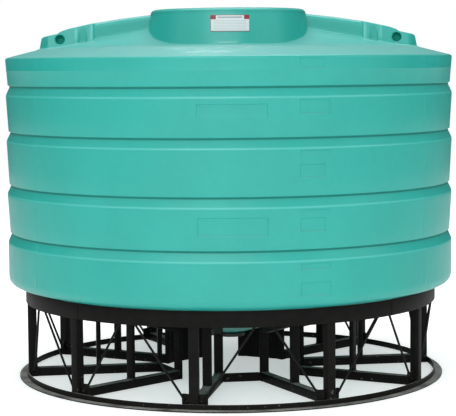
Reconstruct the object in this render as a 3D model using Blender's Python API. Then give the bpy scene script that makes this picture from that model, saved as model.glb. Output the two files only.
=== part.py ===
"""Vertical storage tank: a moulded plastic tank with a 15 degree cone bottom, on a steel stand.

Metres, +Z up. The origin is on the floor at the middle of the tank.
The front of the tank faces -Y. Angles are measured from +X, counter-clockwise seen from above.
"""
import math

import bmesh
import bpy
from mathutils import Matrix, Vector

GAP = 0.0003
# Room under a straight piece that lies against a round surface made of flat facets
SEAT_GAP = 0.0008
CUT_THROUGH = 0.4
FULL_TURN = 2.0 * math.pi

# Tank. Each band of the wall leans in by BAND_TAPER from its upper edge to the groove under it.
TANK_RADIUS = 1.295
WALL_THICKNESS = 0.034
SKIN_THICKNESS = 0.012
RIM_BOTTOM_Z = 0.543
RIM_FILLET = 0.047
CONE_SLOPE = math.tan(math.radians(15.0))
BAND_TAPER = 0.012
GROOVE_DEPTH = 0.022
GROOVE_TOPS_Z = (1.691, 1.429, 1.1265, 0.850)
GROOVE_HEIGHTS = (0.0535, 0.053, 0.054, 0.056)
GROOVE_LIP = 0.004
GROOVE_FLOOR = 0.006
GROOVE_EDGE = 0.006
WALL_TOP_Z = 1.7725
SHOULDER_Z = 1.845
SHOULDER_CORNER = 0.014
ROOF_KNEE_RADIUS = 1.09
ROOF_KNEE_Z = 1.897
DOME_RADIUS = 0.467
DOME_BASE_Z = 1.910
DOME_TOP_Z = 2.120
DOME_SIDE_RADIUS = 0.452
DOME_FOOT = 0.015
DOME_FOOT_LIFT = 0.003
DOME_CORNER = 0.028
DOME_CROWN = 0.008
WELL_RADIUS = 0.262
WELL_LIP = 0.060
WELL_EDGE = 0.007
WELL_FLOOR_Z = 2.062
MANWAY_RADIUS = 0.203
LID_RADIUS = 0.232
LID_THICKNESS = 0.030
LID_RIM = 0.040
LID_EDGE = 0.006
LID_STEPS = 48
DRAIN_BORE_RADIUS = 0.030
DRAIN_FLANGE_RADIUS = 0.085
DRAIN_FLANGE_THICKNESS = 0.020
DRAIN_NECK_CLEARANCE = 0.003
DRAIN_NECK_HEIGHT = 0.010
DRAIN_STEPS = 32
CONE_HOLE_RADIUS = 0.055
TANK_STEPS = 64

# Lifting lugs on the roof, one on each side
LUG_OUTER = 1.106
LUG_BLOCK_INNER = 0.790
LUG_BLOCK_WIDTH = 0.150
LUG_BLOCK_TOP = (
    (1.090, 1.960), (1.077, 1.9695), (0.993, 1.9875),
    (0.983, 1.997), (0.940, 2.012), (LUG_BLOCK_INNER, 2.046),
)
LUG_RIB_WIDTH = 0.104
LUG_RIB_TOP = ((0.810, 2.0415), (0.620, 2.0705), (0.380, 2.099))
LUG_HOLE_RADIUS = 0.028
LUG_HOLE_AT = (0.977, 1.951)
LUG_SLOT = (0.815, 0.870, 1.850, 2.100)
LUG_SLOT_DEPTH = 0.014
# Flanks that slope down from the foot of the rib to the roof, widest beside the dome
FLANK_INNER = 0.200
FLANK_OUTER = 1.060
FLANK_MIDDLE = 0.475
FLANK_MIDDLE_Z = 2.025
FLANK_FALL = 0.2155
FLANK_SLOPE = math.tan(math.radians(25.0))
FLANK_SEAT = 0.0005

# Placard on the front of the dome
PLACARD_WIDTH = 0.219
PLACARD_HEIGHT = 0.092
PLACARD_THICKNESS = 0.003
PLACARD_MIDDLE_Z = 2.029
PLACARD_STEPS = 8

# Stand
FRAME_COUNT = 10
FRAME_PITCH = FULL_TURN / FRAME_COUNT
FIRST_FRAME = math.radians(-99.6)
QUARTER = FULL_TURN / 4.0
FIRST_QUARTER = FIRST_FRAME + FRAME_PITCH * 25.0 / 16.0
SIDES = ("right", "back", "left", "front")
STAND_STEPS = 80
HOOP_INNER = 1.1945
HOOP_THICKNESS = 0.006
BAND_BOTTOM_Z = 0.4395
BASE_LEG_WIDTH = 0.050
BASE_LEG_HEIGHT = 0.034
TUBE = 0.0508
MID_POST_AT = 0.785
INNER_POST_AT = 0.425
SMALL_POST_DEPTH = 0.0254
RAFTER_DEPTH = 0.050
TIE_HEIGHT = 0.0508
TIE_THICKNESS = 0.006
PLATED_BAYS = (4, 6)
ROD_RADIUS = 0.0065
ROD_SIDES = 6
ROD_TOP_SPREAD = 0.0275
POST_MIDDLE = 1.168
BRACE_PLATE_THICKNESS = 0.006
FOOT_TAB = (0.045, 0.060)
FOOT_Z = 0.052
APEX_PLATE = (0.086, 0.046)
APEX_Z = BAND_BOTTOM_Z + 0.032


def clear_scene():
    for obj in list(bpy.data.objects):
        bpy.data.objects.remove(obj, do_unlink=True)


def make_material(name, colour, roughness, metallic=0.0):
    material = bpy.data.materials.new(name)
    material.use_nodes = True
    shader = material.node_tree.nodes["Principled BSDF"]
    shader.inputs["Base Color"].default_value = (*colour, 1.0)
    shader.inputs["Roughness"].default_value = roughness
    shader.inputs["Metallic"].default_value = metallic
    return material


def add_object(name, mesh_data, material, smooth_angle=None):
    """Turn a bmesh into a named object, with its faces pointing out."""
    bmesh.ops.remove_doubles(mesh_data, verts=mesh_data.verts, dist=0.00001)
    bmesh.ops.recalc_face_normals(mesh_data, faces=mesh_data.faces)
    mesh = bpy.data.meshes.new(name)
    mesh_data.to_mesh(mesh)
    mesh_data.free()
    if smooth_angle is not None:
        mesh.shade_smooth()
        mesh.set_sharp_from_angle(angle=math.radians(smooth_angle))
    obj = bpy.data.objects.new(name, mesh)
    obj.data.materials.append(material)
    bpy.context.scene.collection.objects.link(obj)
    return obj


def spin_outline(outline, start, angle, steps):
    """Spin a closed (radius, height) outline about the Z axis, from start through angle."""
    shape = bmesh.new()
    direction = Vector((math.cos(start), math.sin(start), 0.0))
    verts = [shape.verts.new(direction * radius + Vector((0.0, 0.0, height))) for radius, height in outline]
    full_turn = angle == FULL_TURN
    if full_turn:
        edges = [shape.edges.new((verts[i - 1], verts[i])) for i in range(len(verts))]
        geometry = verts + edges
    else:
        geometry = [shape.faces.new(verts)]
    bmesh.ops.spin(shape, geom=geometry, cent=(0.0, 0.0, 0.0), axis=(0.0, 0.0, 1.0),
                   angle=angle, steps=steps, use_duplicate=False)
    return shape


def prism(outline, thickness, place):
    """Extrude a flat outline of (x, z) points by thickness, centred on its plane."""
    shape = bmesh.new()
    face = shape.faces.new([shape.verts.new((x, -thickness / 2.0, z)) for x, z in outline])
    extruded = bmesh.ops.extrude_face_region(shape, geom=[face])
    moved = [item for item in extruded["geom"] if isinstance(item, bmesh.types.BMVert)]
    bmesh.ops.translate(shape, verts=moved, vec=(0.0, thickness, 0.0))
    bmesh.ops.transform(shape, matrix=place, verts=shape.verts)
    bmesh.ops.recalc_face_normals(shape, faces=shape.faces)
    return shape


def rectangle(left, right, low, high):
    return [(left, low), (right, low), (right, high), (left, high)]


def apply_boolean(obj, cutter, operation):
    """Cut or join a second solid into obj, then remove that second solid."""
    modifier = obj.modifiers.new(operation.lower(), "BOOLEAN")
    modifier.operation = operation
    modifier.solver = "EXACT"
    modifier.object = cutter
    graph = bpy.context.evaluated_depsgraph_get()
    finished = bpy.data.meshes.new_from_object(obj.evaluated_get(graph))
    obj.modifiers.clear()
    obj.data = finished
    bpy.data.objects.remove(cutter, do_unlink=True)


def radial_place(angle):
    """Turn a frame's own plane, X outward and Z up, to its angle round the stand."""
    return Matrix.Rotation(angle, 4, "Z")


def cone_z(radius):
    """Height of the underside of the tank's cone."""
    return RIM_BOTTOM_Z - (TANK_RADIUS - RIM_FILLET - radius) * CONE_SLOPE


def arc(middle_radius, middle_z, size, start, end, count):
    """Points of a round corner, with its angles in degrees."""
    points = []
    for step in range(count + 1):
        angle = math.radians(start + (end - start) * step / count)
        points.append((middle_radius + size * math.cos(angle), middle_z + size * math.sin(angle)))
    return points


def wall_outline():
    """The outer side from top to bottom with its grooves, then the plain inner side."""
    shoulder_share = (SHOULDER_Z - WALL_TOP_Z) / (SHOULDER_Z - GROOVE_TOPS_Z[0])
    points = [(TANK_RADIUS - BAND_TAPER * shoulder_share, WALL_TOP_Z - GAP)]
    for top, height in zip(GROOVE_TOPS_Z, GROOVE_HEIGHTS):
        points += [
            (TANK_RADIUS - BAND_TAPER, top),
            (TANK_RADIUS - GROOVE_DEPTH, top - GROOVE_LIP),
            (TANK_RADIUS - GROOVE_DEPTH, top - GROOVE_LIP - GROOVE_FLOOR),
            (TANK_RADIUS - GROOVE_EDGE / 3.0, top - height + GROOVE_EDGE),
            (TANK_RADIUS, top - height),
        ]
    points += arc(TANK_RADIUS - RIM_FILLET, RIM_BOTTOM_Z + RIM_FILLET, RIM_FILLET, 0.0, -90.0, 4)
    inner = TANK_RADIUS - WALL_THICKNESS
    points.append((TANK_RADIUS - RIM_FILLET, RIM_BOTTOM_Z + SKIN_THICKNESS))
    points.append((inner, RIM_BOTTOM_Z + RIM_FILLET))
    points.append((inner, WALL_TOP_Z - GAP))
    return points


def roof_outline():
    """The shoulder and the low domed cone of the roof, as a plate of even thickness."""
    shoulder_share = (SHOULDER_Z - WALL_TOP_Z) / (SHOULDER_Z - GROOVE_TOPS_Z[0])
    inner = TANK_RADIUS - WALL_THICKNESS
    corner = arc(TANK_RADIUS - SHOULDER_CORNER, SHOULDER_Z - SHOULDER_CORNER, SHOULDER_CORNER, 0.0, 80.0, 2)
    return [(TANK_RADIUS - BAND_TAPER * shoulder_share, WALL_TOP_Z)] + corner + [
        (ROOF_KNEE_RADIUS, ROOF_KNEE_Z),
        (DOME_RADIUS + GAP, DOME_BASE_Z),
        (DOME_RADIUS + GAP, DOME_BASE_Z - SKIN_THICKNESS),
        (ROOF_KNEE_RADIUS, ROOF_KNEE_Z - SKIN_THICKNESS),
        (inner - SKIN_THICKNESS, SHOULDER_Z - SKIN_THICKNESS),
        (inner, SHOULDER_Z - 2.0 * SKIN_THICKNESS),
        (inner, WALL_TOP_Z),
    ]


def make_wall(material):
    """The tank's wall, in four quarters."""
    shift = GAP / (2.0 * TANK_RADIUS)
    for index, side in enumerate(SIDES):
        start = FIRST_QUARTER + index * QUARTER + shift
        shape = spin_outline(wall_outline(), start, QUARTER - 2.0 * shift, TANK_STEPS // 4)
        add_object("tank_wall_" + side, shape, material, 25.0)


def make_roof(material):
    shape = spin_outline(roof_outline(), FIRST_QUARTER, FULL_TURN, TANK_STEPS)
    return add_object("tank_roof", shape, material, 25.0)


def make_cone(material):
    """The cone bottom, open at its point for the outlet."""
    top = TANK_RADIUS - RIM_FILLET - GAP
    outline = [
        (top, cone_z(top) + SKIN_THICKNESS),
        (top, cone_z(top)),
        (CONE_HOLE_RADIUS, cone_z(CONE_HOLE_RADIUS)),
        (CONE_HOLE_RADIUS, cone_z(CONE_HOLE_RADIUS) + SKIN_THICKNESS),
    ]
    shape = spin_outline(outline, FIRST_QUARTER, FULL_TURN, TANK_STEPS)
    return add_object("tank_cone", shape, material, 25.0)


def dome_side(grow):
    """The outer side of the dome, from its foot to its rounded top edge, grown by a clearance."""
    foot_z = DOME_BASE_Z + DOME_FOOT + DOME_FOOT_LIFT
    points = [(DOME_RADIUS + grow, DOME_BASE_Z - SKIN_THICKNESS)]
    points += arc(DOME_SIDE_RADIUS + DOME_FOOT, foot_z, DOME_FOOT - grow, 270.0, 180.0, 3)
    corner_z = DOME_TOP_Z - DOME_CROWN - DOME_CORNER
    points += arc(DOME_SIDE_RADIUS - DOME_CORNER, corner_z, DOME_CORNER + grow, 0.0, 80.0, 4)
    return points


def make_dome(material):
    """A hollow cap with a well in its top for the lid."""
    skin = SKIN_THICKNESS
    base_z = DOME_BASE_Z - skin
    corner_radius = DOME_SIDE_RADIUS - DOME_CORNER
    corner_z = DOME_TOP_Z - DOME_CROWN - DOME_CORNER
    outline = dome_side(0.0) + [
        (WELL_RADIUS + WELL_LIP, DOME_TOP_Z),
        (WELL_RADIUS + WELL_EDGE, DOME_TOP_Z),
        (WELL_RADIUS, DOME_TOP_Z - WELL_EDGE),
        (WELL_RADIUS - WELL_EDGE, WELL_FLOOR_Z),
        (MANWAY_RADIUS, WELL_FLOOR_Z),
        (MANWAY_RADIUS, WELL_FLOOR_Z - skin),
        (WELL_RADIUS + skin, WELL_FLOOR_Z - skin),
        (WELL_RADIUS + skin, DOME_TOP_Z - skin),
        (WELL_RADIUS + WELL_LIP, DOME_TOP_Z - skin),
    ]
    outline += arc(corner_radius, corner_z, DOME_CORNER - skin, 80.0, 0.0, 2)
    outline.append((DOME_SIDE_RADIUS - skin, base_z))
    shape = spin_outline(outline, FIRST_QUARTER, FULL_TURN, TANK_STEPS)
    return add_object("dome", shape, material, 30.0)


def make_lid(material):
    """The screw lid of the manway, with a raised rim round its top."""
    bottom = WELL_FLOOR_Z + GAP
    top = bottom + LID_THICKNESS
    outline = [
        (0.0, bottom),
        (LID_RADIUS, bottom),
        (LID_RADIUS, top - LID_EDGE),
        (LID_RADIUS - LID_EDGE, top),
        (LID_RADIUS - LID_RIM, top),
        (LID_RADIUS - LID_RIM - LID_EDGE, top - LID_EDGE),
        (0.0, top - LID_EDGE),
    ]
    shape = spin_outline(outline, 0.0, FULL_TURN, LID_STEPS)
    bmesh.ops.remove_doubles(shape, verts=shape.verts, dist=0.00001)
    return add_object("manway_lid", shape, material, 30.0)


def make_drain(material):
    """The flanged outlet at the point of the cone, open right through."""
    seat_z = cone_z(CONE_HOLE_RADIUS)
    neck = CONE_HOLE_RADIUS - DRAIN_NECK_CLEARANCE
    neck_top = seat_z + SKIN_THICKNESS + DRAIN_NECK_HEIGHT
    flange_top = seat_z - GAP
    outline = [
        (DRAIN_BORE_RADIUS, flange_top - DRAIN_FLANGE_THICKNESS),
        (DRAIN_FLANGE_RADIUS, flange_top - DRAIN_FLANGE_THICKNESS),
        (DRAIN_FLANGE_RADIUS, flange_top),
        (neck, flange_top),
        (neck, neck_top),
        (DRAIN_BORE_RADIUS, neck_top),
    ]
    shape = spin_outline(outline, 0.0, FULL_TURN, DRAIN_STEPS)
    return add_object("drain_outlet", shape, material, 30.0)


def roof_z(radius):
    """Height just above the roof, where a lug stands."""
    if radius > ROOF_KNEE_RADIUS:
        share = (radius - ROOF_KNEE_RADIUS) / (TANK_RADIUS - SHOULDER_CORNER - ROOF_KNEE_RADIUS)
        return ROOF_KNEE_Z + share * (SHOULDER_Z - ROOF_KNEE_Z) + SEAT_GAP
    share = (ROOF_KNEE_RADIUS - radius) / (ROOF_KNEE_RADIUS - DOME_RADIUS)
    return ROOF_KNEE_Z + share * (DOME_BASE_Z - ROOF_KNEE_Z) + SEAT_GAP


def flank_section(distance):
    """The five corners of the wedge's section across a rib, at a distance from the axis."""
    top_z = FLANK_MIDDLE_Z - (distance - FLANK_MIDDLE) * FLANK_FALL
    half_rib = LUG_RIB_WIDTH / 2.0
    half_width = half_rib + (top_z - roof_z(distance)) / FLANK_SLOPE
    foot_z = roof_z(math.hypot(distance, half_width)) + FLANK_SEAT
    middle_z = roof_z(distance) + FLANK_SEAT
    under = [(-half_width, foot_z), (0.0, middle_z), (half_width, foot_z)]
    over = [(half_rib, top_z), (-half_rib, top_z)]
    return [Vector((distance, across, height)) for across, height in under + over]


def flanks(place):
    """The sloping flanks on both sides of a rib, in one wedge that widens towards the dome."""
    shape = bmesh.new()
    rows = [[shape.verts.new(place @ corner) for corner in flank_section(distance)]
            for distance in (FLANK_INNER, FLANK_MIDDLE, FLANK_OUTER)]
    for near, far in zip(rows, rows[1:]):
        for index in range(len(near)):
            shape.faces.new((near[index - 1], near[index], far[index], far[index - 1]))
    shape.faces.new(rows[0])
    shape.faces.new(rows[-1])
    bmesh.ops.triangulate(shape, faces=shape.faces)
    bmesh.ops.recalc_face_normals(shape, faces=shape.faces)
    return shape


def make_lifting_lugs(material):
    """Two solid ribs across the roof, each with flanks, a lifting hole and a strap slot in its block."""
    dome_room = [(0.0, DOME_BASE_Z - SKIN_THICKNESS), *dome_side(GAP), (0.0, DOME_TOP_Z)]
    block = [(LUG_OUTER, roof_z(LUG_OUTER)), *LUG_BLOCK_TOP]
    block += [(LUG_BLOCK_INNER, roof_z(LUG_BLOCK_INNER)), (ROOF_KNEE_RADIUS, roof_z(ROOF_KNEE_RADIUS))]
    rib = [(LUG_RIB_TOP[0][0], roof_z(LUG_RIB_TOP[0][0])), *LUG_RIB_TOP]
    rib.append((LUG_RIB_TOP[-1][0], roof_z(LUG_RIB_TOP[-1][0])))
    for name, angle in (("lifting_lug_right", 0.0), ("lifting_lug_left", math.pi)):
        place = radial_place(angle)
        lug = add_object(name, prism(block, LUG_BLOCK_WIDTH, place), material)
        tail = add_object("tail", prism(rib, LUG_RIB_WIDTH, place), material)
        apply_boolean(lug, tail, "UNION")
        apply_boolean(lug, add_object("flanks", flanks(place), material), "UNION")
        dome_cut = spin_outline(dome_room, FIRST_QUARTER, FULL_TURN, TANK_STEPS)
        apply_boolean(lug, add_object("dome_cut", dome_cut, material), "DIFFERENCE")
        cuts = [prism(arc(*LUG_HOLE_AT, LUG_HOLE_RADIUS, 22.5, 337.5, 7), CUT_THROUGH, place)]
        for side in (-1.0, 1.0):
            edge = Matrix.Translation((0.0, side * LUG_BLOCK_WIDTH / 2.0, 0.0))
            cuts.append(prism(rectangle(*LUG_SLOT), LUG_SLOT_DEPTH * 2.0, place @ edge))
        for shape in cuts:
            apply_boolean(lug, add_object("cut", shape, material), "DIFFERENCE")


def make_placard(material):
    """A thin blank plate that follows the front of the dome."""
    radius = DOME_SIDE_RADIUS + SEAT_GAP
    half = PLACARD_WIDTH / 2.0 / radius
    low = PLACARD_MIDDLE_Z - PLACARD_HEIGHT / 2.0
    outline = rectangle(radius, radius + PLACARD_THICKNESS, low, low + PLACARD_HEIGHT)
    shape = spin_outline(outline, -math.pi / 2.0 - half, 2.0 * half, PLACARD_STEPS)
    return add_object("placard", shape, material)


def make_hoops(material):
    """The rolled band under the tank and the rolled angle on the floor, each in four lengths."""
    outer = HOOP_INNER + HOOP_THICKNESS
    band_top = cone_z(HOOP_INNER) - SEAT_GAP
    band = [(HOOP_INNER, BAND_BOTTOM_Z), (outer, BAND_BOTTOM_Z), (outer, band_top), (HOOP_INNER, band_top)]
    base = [
        (HOOP_INNER, 0.0),
        (HOOP_INNER + BASE_LEG_WIDTH, 0.0),
        (HOOP_INNER + BASE_LEG_WIDTH, HOOP_THICKNESS),
        (outer, HOOP_THICKNESS),
        (outer, BASE_LEG_HEIGHT),
        (HOOP_INNER, BASE_LEG_HEIGHT),
    ]
    shift = GAP / (2.0 * HOOP_INNER)
    for index, side in enumerate(SIDES):
        start = FIRST_QUARTER + index * QUARTER
        for name, outline in (("top_band_" + side, band), ("base_ring_" + side, base)):
            shape = spin_outline(outline, start + shift, QUARTER - 2.0 * shift, STAND_STEPS // 4)
            add_object(name, shape, material, 25.0)


def post_face():
    """Distance of the outer face of a post from the axis: flat against one facet of the hoops."""
    return HOOP_INNER * math.cos(math.pi / STAND_STEPS) - GAP


def make_frames(material):
    """Ten upright frames that stand like spokes, each with three posts, a sill and a rafter."""
    outer = post_face()
    inner = INNER_POST_AT - SMALL_POST_DEPTH / 2.0

    def top_z(radius):
        return cone_z(radius) - SEAT_GAP

    outline = [(inner, 0.0), (outer, 0.0), (outer, top_z(outer)), (inner, top_z(inner))]
    half = SMALL_POST_DEPTH / 2.0
    gaps = (
        (INNER_POST_AT + half, MID_POST_AT - half),
        (MID_POST_AT + half, outer - TUBE),
    )
    for index in range(FRAME_COUNT):
        place = radial_place(FIRST_FRAME + index * FRAME_PITCH)
        frame = add_object("radial_frame_%d" % (index + 1), prism(outline, TUBE, place), material)
        for low, high in gaps:
            hole = [(low, TUBE), (high, TUBE)]
            hole += [(radius, top_z(radius) - RAFTER_DEPTH) for radius in (high, low)]
            apply_boolean(frame, add_object("cut", prism(hole, CUT_THROUGH, place), material), "DIFFERENCE")


def make_ties(material):
    """Flat bars between the inner posts of every second bay; two of them carry a closing plate."""
    half_bay = FRAME_PITCH / 2.0
    reach = INNER_POST_AT * math.cos(half_bay)
    # The side faces of the two posts come nearest to each other at the bar's inner face.
    nearest = (reach - TIE_THICKNESS / 2.0) * math.tan(half_bay)
    half_width = nearest - (TUBE / 2.0 + GAP) / math.cos(half_bay)
    for index in range(0, FRAME_COUNT, 2):
        height = TIE_HEIGHT
        if index in PLATED_BAYS:
            height = cone_z(INNER_POST_AT) - RAFTER_DEPTH
        angle = FIRST_FRAME + (index + 0.5) * FRAME_PITCH
        across = Matrix.Translation((reach, 0.0, 0.0)) @ Matrix.Rotation(math.pi / 2.0, 4, "Z")
        place = radial_place(angle) @ across
        outline = rectangle(-half_width, half_width, 0.0, height)
        add_object("inner_tie_%d" % (index // 2 + 1), prism(outline, TIE_THICKNESS, place), material)


def rod_between(start, end, radius, sides):
    """A straight bar of few sides from start to end."""
    shape = bmesh.new()
    axis = end - start
    bmesh.ops.create_cone(
        shape, cap_ends=True, segments=sides, radius1=radius, radius2=radius, depth=axis.length)
    place = Matrix.Translation((start + end) / 2.0) @ axis.to_track_quat("Z", "Y").to_matrix().to_4x4()
    bmesh.ops.transform(shape, matrix=place, verts=shape.verts)
    return shape


def make_braces(material):
    """A pair of rods in each bay, from tabs on the feet of its posts to a plate inside the band."""
    half_bay = FRAME_PITCH / 2.0
    foot_out = POST_MIDDLE * math.cos(half_bay)
    half = BRACE_PLATE_THICKNESS / 2.0
    post_side = (foot_out - half) * math.tan(half_bay) - (TUBE / 2.0 + GAP) / math.cos(half_bay)
    apex_out = post_face() - half
    rod_top_out = post_face() - ROD_RADIUS - GAP
    for index in range(FRAME_COUNT):
        turn = radial_place(FIRST_FRAME + (index + 0.5) * FRAME_PITCH)
        across = Matrix.Rotation(QUARTER, 4, "Z")
        apex_place = turn @ Matrix.Translation((apex_out, 0.0, APEX_Z)) @ across
        foot_place = turn @ Matrix.Translation((foot_out, 0.0, FOOT_Z)) @ across
        apex_half = (APEX_PLATE[0] / 2.0, APEX_PLATE[1] / 2.0)
        apex = rectangle(-apex_half[0], apex_half[0], -apex_half[1], apex_half[1])
        brace = add_object(
            "bay_brace_%d" % (index + 1), prism(apex, BRACE_PLATE_THICKNESS, apex_place), material)
        for side in (-1.0, 1.0):
            ends = sorted((side * post_side, side * (post_side - FOOT_TAB[0])))
            tab = rectangle(*ends, -FOOT_TAB[1] / 2.0, FOOT_TAB[1] / 2.0)
            foot = add_object("tab", prism(tab, BRACE_PLATE_THICKNESS, foot_place), material)
            low = turn @ Vector((foot_out, side * (post_side - FOOT_TAB[0] / 2.0), FOOT_Z))
            high = turn @ Vector((rod_top_out, side * ROD_TOP_SPREAD, APEX_Z))
            rod = add_object("rod", rod_between(low, high, ROD_RADIUS, ROD_SIDES), material)
            apply_boolean(rod, foot, "UNION")
            apply_boolean(brace, rod, "UNION")


def build():
    clear_scene()
    teal = make_material("tank_plastic", (0.095, 0.497, 0.434), 0.42)
    steel = make_material("stand_paint", (0.012, 0.012, 0.010), 0.5)
    rods = make_material("rod_steel", (0.016, 0.016, 0.014), 0.45, 0.4)
    lid_black = make_material("lid_plastic", (0.02, 0.02, 0.02), 0.5)
    pipe_black = make_material("outlet_plastic", (0.02, 0.02, 0.02), 0.4)
    white = make_material("placard_white", (0.72, 0.76, 0.76), 0.4)
    make_wall(teal)
    make_roof(teal)
    make_cone(teal)
    make_dome(teal)
    make_lifting_lugs(teal)
    make_lid(lid_black)
    make_drain(pipe_black)
    make_placard(white)
    make_hoops(steel)
    make_frames(steel)
    make_ties(steel)
    make_braces(rods)


build()
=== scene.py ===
"""The looks of the vertical storage tank: a moulded plastic tank on its black steel stand."""
import math

import bmesh
import bpy
from mathutils import Matrix, Vector


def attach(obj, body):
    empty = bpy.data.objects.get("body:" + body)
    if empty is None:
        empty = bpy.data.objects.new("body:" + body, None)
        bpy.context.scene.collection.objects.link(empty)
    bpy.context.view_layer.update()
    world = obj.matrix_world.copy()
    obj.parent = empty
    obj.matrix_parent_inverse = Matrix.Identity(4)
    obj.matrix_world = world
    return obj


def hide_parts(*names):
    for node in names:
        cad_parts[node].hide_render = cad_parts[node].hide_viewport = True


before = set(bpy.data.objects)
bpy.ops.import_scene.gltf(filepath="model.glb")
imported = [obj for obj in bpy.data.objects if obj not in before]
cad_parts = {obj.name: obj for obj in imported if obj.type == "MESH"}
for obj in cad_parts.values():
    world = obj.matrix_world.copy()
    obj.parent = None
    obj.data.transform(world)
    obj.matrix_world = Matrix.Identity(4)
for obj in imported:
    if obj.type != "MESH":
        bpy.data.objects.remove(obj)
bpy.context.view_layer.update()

SIDES = ("front", "right", "back", "left")
GAP = 0.0003
CONE_GAP = 0.0010

# Tank moulding, in metres; each groove by the height of its lip, and the drop from there to the
# edge of the band under it
TANK_RADIUS = 1.2944
TANK_STEPS = 288
SKIN = 0.012
WALL = 0.034
RIM_RADIUS = 1.248
RIM_Z = 0.543
RIM_ROUND = 0.047
CONE_SLOPE = math.tan(math.radians(15.0))
OUTLET_HOLE = 0.055
BAND_TAPER = 0.012
GROOVE_DEPTH = 0.022
GROOVE_LIP = 0.004
GROOVE_FLOOR = 0.0075
GROOVES = ((0.850, 0.060), (1.1265, 0.058), (1.429, 0.057), (1.691, 0.0575))
BAND_EDGE_ROUND = 0.036
SHOULDER_Z = 1.845
SHOULDER_ROUND = 0.014
SHOULDER_STEP_Z = 1.772
SHOULDER_INSET = 0.012
KNEE = (1.09, 1.897)
DOME_SIDE = 0.450
DOME_BASE = 0.462
DOME_FOOT = 0.012
DOME_BASE_Z = 1.910
DOME_TOP_Z = 2.1197
DOME_CROWN = 0.003
WELL_RADIUS = 0.262
WELL_FLOOR_Z = 2.062
MANWAY_RADIUS = 0.203

# Blank moulded pads on the front of the wall: from and to in degrees right of the front,
# lower and upper edge, and whether the pad runs out flush at its lower edge
PADS = (
    (16.25, 22.90, 1.778, 1.832, False),
    (16.25, 23.75, 1.546, 1.621, False),
    (16.25, 23.75, 1.322, 1.359, True),
    (16.25, 22.50, 1.217, 1.288, False),
    (16.25, 23.75, 1.030, 1.055, True),
    (16.25, 22.50, 0.940, 1.012, False),
    (16.25, 23.75, 0.745, 0.776, False),
    (16.25, 23.75, 0.6055, 0.678, False),
    (-7.50, 8.75, 1.5255, 1.600, True),
    (-7.50, 8.75, 0.923, 1.0198, False),
)
PAD_DEPTH = 0.0035
PARTING_LINES = (-125.0, -55.0, 55.0, 125.0)
PARTING_WIDTH = 0.0016
PARTING_HEIGHT = 0.0010

# Lifting lugs (tops as distance from the middle and height, slot as distance from the middle and
# from the lug's own middle), and the soft flanks that fall from their ribs to the roof
LUG_OUTER = 1.106
LUG_INNER = 0.772
LUG_WIDTH = 0.150
LUG_NOSE = 0.058
LUG_SUNK = 0.020
LUG_ROUND = 0.011
LUG_DRAFT = 0.76
LUG_TOP = ((1.088, 1.959), (1.075, 1.9685), (0.989, 1.9870), (0.976, 1.998), (0.936, 2.0125), (0.772, 2.048))
RIB_WIDTH = 0.104
RIB_ROUND = 0.024
RIB_TOP = ((0.810, 2.0415), (0.620, 2.0705), (0.442, 2.0917))
LUG_HOLE = (0.977, 1.951)
LUG_HOLE_RADIUS = 0.027
# A web across the middle of each lug hole, a stand-in for the shade seen through it
LUG_SHADE_WEB = 0.012
LUG_SLOT = ((0.793, 0.090), (0.827, 0.059), (0.862, 0.059), (0.896, 0.090))
# Painted highlights on the ridges beside the lug slots: middle and reach, as distance from the middle
LUG_RIDGE_HIGHLIGHTS = ((0.884, 0.007), (0.790, 0.010))
LUG_FILLET = 0.010
LUG_FILLET_STEPS = (0.15, 0.35, 0.6, 0.9)
LUG_VOXEL = 0.0034
FLANK_MIDDLE = (0.475, 2.005)
FLANK_INNER = 0.400
FLANK_FALL = 0.175
FLANK_SPREAD = 3.6

# Placard, drawn a little to the right of the middle of the dome
PLACARD_WIDTH = 0.219
PLACARD_HEIGHT = 0.092
PLACARD_Z = 2.029
PLACARD_THICKNESS = 0.003
PLACARD_SHIFT = 0.010
PLACARD_LIFT = 0.0006
PLACARD_EDGE = 0.0026

# Colours of the teal plastic: body and its mottling, painted light on upward faces, painted
# highlight on the upper band edges, painted shade in the grooves, the inside of the lug holes
# painted as plastic in shade, painted highlight on the ridges beside the lug slots, painted shade
# on the rounded edge of the dome, and dust
TEAL = (0.0125, 0.338, 0.290)
TEAL_MOTTLE = (0.0145, 0.372, 0.321)
TEAL_PAINTED_TOP_LIGHT = (0.070, 0.362, 0.334)
TEAL_EDGE_HIGHLIGHT = (0.075, 0.480, 0.430)
TEAL_GROOVE_SHADE = (0.0035, 0.170, 0.142)
TEAL_HOLE_IN_SHADE = (0.006, 0.380, 0.300)
TEAL_RIDGE_HIGHLIGHT = (0.110, 0.520, 0.480)
TEAL_DOME_EDGE_SHADE = (0.006, 0.225, 0.190)
TEAL_DUST = (0.34, 0.42, 0.40)

# Where the painted shade on the dome's rounded edge starts (radius and height), and glossier
# spots in front, each as middle, reach and softness outwards and then sideways
DOME_EDGE = (0.395, 2.088)
POLISHED_SHOULDER = ((1.214, 0.011, 0.007), (-0.115, 0.10, 0.06))
POLISHED_FOOT = ((0.467, 0.008, 0.004), (0.0, 0.07, 0.04))

# Colours of the stand's paint and rods, and of the dust and pale flecks on them
STAND_BLACK = (0.0040, 0.0040, 0.0035)
ROD_BLACK = (0.0060, 0.0060, 0.0054)
STAND_DUST = (0.27, 0.265, 0.25)
STAND_PALE_FLECK = (0.30, 0.29, 0.27)

# Studio surround: its brightness behind, and what the front and the top add
SURROUND_BACK = 0.05
SURROUND_FRONT = 0.10
SURROUND_TOP = 0.60

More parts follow.
